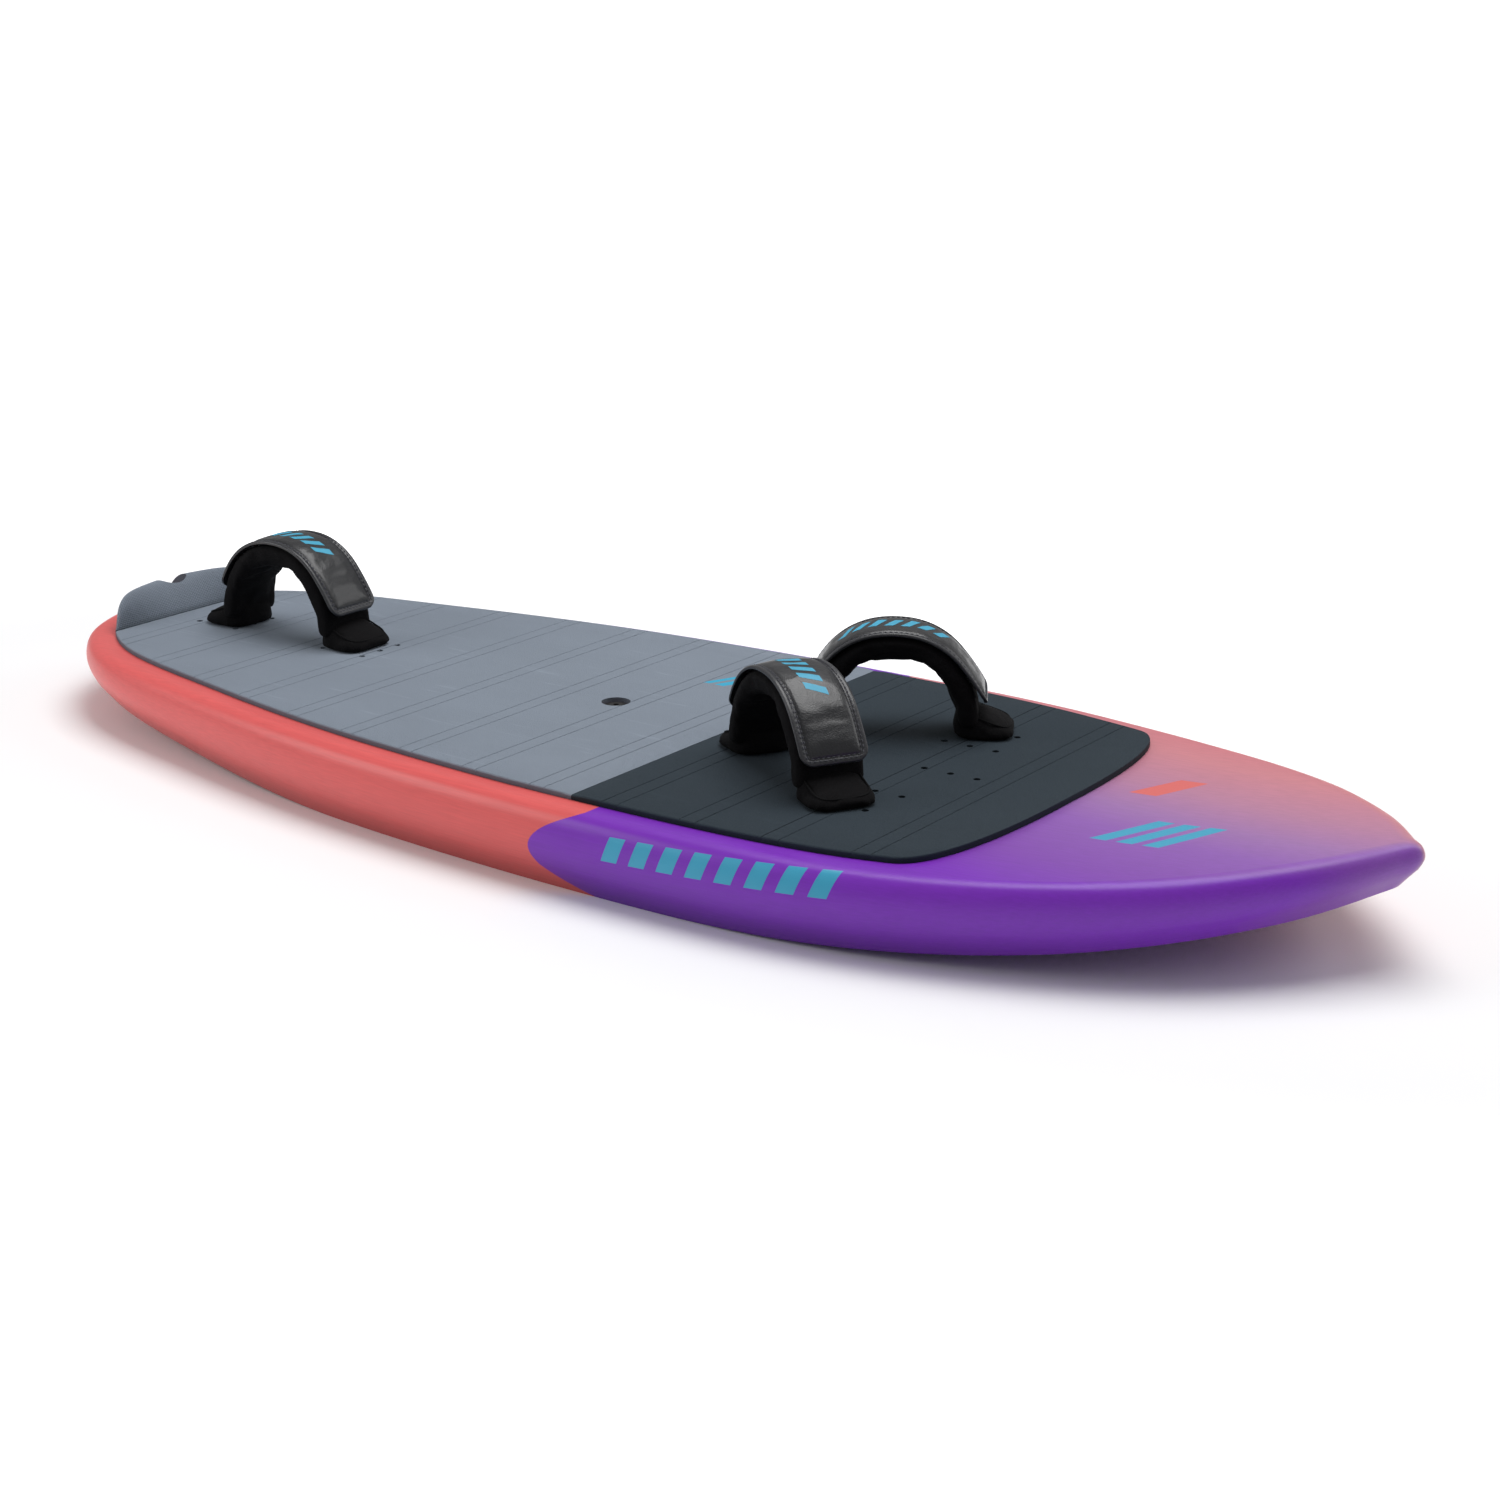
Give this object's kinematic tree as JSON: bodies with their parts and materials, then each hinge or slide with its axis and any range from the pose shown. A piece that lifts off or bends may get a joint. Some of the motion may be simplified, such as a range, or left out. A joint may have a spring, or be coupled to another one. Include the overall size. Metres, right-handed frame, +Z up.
{
  "type": "kite foil board",
  "caption": "Directional kite foil board with rounded rails, foam deck pads, a tail kick pad, a vent, twin foil tracks and padded foot straps in a V layout.",
  "frame": {"origin": "mid-length on the centreline, in the plane of the flat bottom panel", "axes": "+X to the nose, +Y to the left rail, +Z up from the deck"},
  "size_m": [1.37, 0.5004, 0.1679],
  "materials": {
    "deck_lacquer": "satin lacquer, coral fading to purple",
    "bottom_lacquer": "satin lacquer",
    "core_foam": "shaped foam",
    "dense_foam": "dense foam",
    "insert_plastic": "machined",
    "track_plastic": "moulded",
    "nut_brass": "machined",
    "light_pad_foam": "embossed foam",
    "dark_pad_foam": "embossed foam",
    "vent_plastic": "moulded",
    "vent_rubber": "smooth",
    "strap_neoprene": "neoprene",
    "strap_webbing": "woven",
    "strap_leather": "grained",
    "screw_steel": "turned"
  },
  "bodies": {
    "board": {"foam_core": "core_foam", "deck_skin": "deck_lacquer", "bottom_skin": "bottom_lacquer", "track_block": "dense_foam", "foil_track_left": "track_plastic", "foil_track_right": "track_plastic", "insert_block_rear_strap_front": "insert_plastic", "insert_block_rear_strap_rear": "insert_plastic", "insert_block_left_strap_front": "insert_plastic", "insert_block_left_strap_rear": "insert_plastic", "insert_block_right_strap_front": "insert_plastic", "insert_block_right_strap_rear": "insert_plastic", "insert_block_centre_row": "insert_plastic", "insert_block_left_row": "insert_plastic", "insert_block_right_row": "insert_plastic", "front_pad": "dark_pad_foam", "rear_pad": "light_pad_foam", "kick_pad": "light_pad_foam", "vent_body": "vent_plastic", "rear_strap_sleeve": "strap_neoprene", "rear_strap_webbing": "strap_webbing", "rear_strap_cover": "strap_leather", "rear_strap_foot_front": "strap_neoprene", "rear_strap_foot_rear": "strap_neoprene", "rear_strap_plate_front": "screw_steel", "rear_strap_plate_rear": "screw_steel", "rear_strap_screw_front": "screw_steel", "rear_strap_screw_rear": "screw_steel", "left_strap_sleeve": "strap_neoprene", "left_strap_webbing": "strap_webbing", "left_strap_cover": "strap_leather", "left_strap_foot_front": "strap_neoprene", "left_strap_foot_rear": "strap_neoprene", "left_strap_plate_front": "screw_steel", "left_strap_plate_rear": "screw_steel", "left_strap_screw_front": "screw_steel", "left_strap_screw_rear": "screw_steel", "right_strap_sleeve": "strap_neoprene", "right_strap_webbing": "strap_webbing", "right_strap_cover": "strap_leather", "right_strap_foot_front": "strap_neoprene", "right_strap_foot_rear": "strap_neoprene", "right_strap_plate_front": "screw_steel", "right_strap_plate_rear": "screw_steel", "right_strap_screw_front": "screw_steel", "right_strap_screw_rear": "screw_steel"},
    "rear_strap_flap": {"rear_strap_flap": "strap_leather"},
    "left_strap_flap": {"left_strap_flap": "strap_leather"},
    "right_strap_flap": {"right_strap_flap": "strap_leather"},
    "vent_seal": {"vent_oring": "vent_rubber"},
    "vent_plug": {"vent_screw": "vent_plastic"},
    "track_nut_left_front": {"track_nut_left_front": "nut_brass"},
    "track_nut_left_rear": {"track_nut_left_rear": "nut_brass"},
    "track_nut_right_front": {"track_nut_right_front": "nut_brass"},
    "track_nut_right_rear": {"track_nut_right_rear": "nut_brass"}
  },
  "joints": [
    {"name": "rear_strap_flap_peel", "type": "hinge", "parent": "board", "child": "rear_strap_flap", "pos_m": [-0.43339, 0, 0.16559], "axis": [0, -1, 0], "range_deg": [0, 80]},
    {"name": "left_strap_flap_peel", "type": "hinge", "parent": "board", "child": "left_strap_flap", "pos_m": [0.19952, 0.08413, 0.16559], "axis": [0.515, -0.8572, 0], "range_deg": [0, 80]},
    {"name": "right_strap_flap_peel", "type": "hinge", "parent": "board", "child": "right_strap_flap", "pos_m": [0.19952, -0.08413, 0.16559], "axis": [-0.515, -0.8572, 0], "range_deg": [0, 80]},
    {"name": "vent_lift", "type": "slide", "parent": "board", "child": "vent_seal", "axis": [0, 0, 1], "range_m": [0, 0.00375]},
    {"name": "vent_turn", "type": "hinge", "parent": "vent_seal", "child": "vent_plug", "pos_m": [-0.062, 0, 0.07], "axis": [0, 0, 1], "range_deg": [0, 1080]},
    {"name": "track_nut_left_front_slide", "type": "slide", "parent": "board", "child": "track_nut_left_front", "axis": [1, 0, 0], "range_m": [-0.074, 0.03]},
    {"name": "track_nut_left_rear_slide", "type": "slide", "parent": "board", "child": "track_nut_left_rear", "axis": [1, 0, 0], "range_m": [-0.03, 0.074]},
    {"name": "track_nut_right_front_slide", "type": "slide", "parent": "board", "child": "track_nut_right_front", "axis": [1, 0, 0], "range_m": [-0.074, 0.03]},
    {"name": "track_nut_right_rear_slide", "type": "slide", "parent": "board", "child": "track_nut_right_rear", "axis": [1, 0, 0], "range_m": [-0.03, 0.074]}
  ],
  "couplings": [
    {"joint": "vent_turn", "follows": "vent_lift", "rad_per_m": 5026.5}
  ]
}
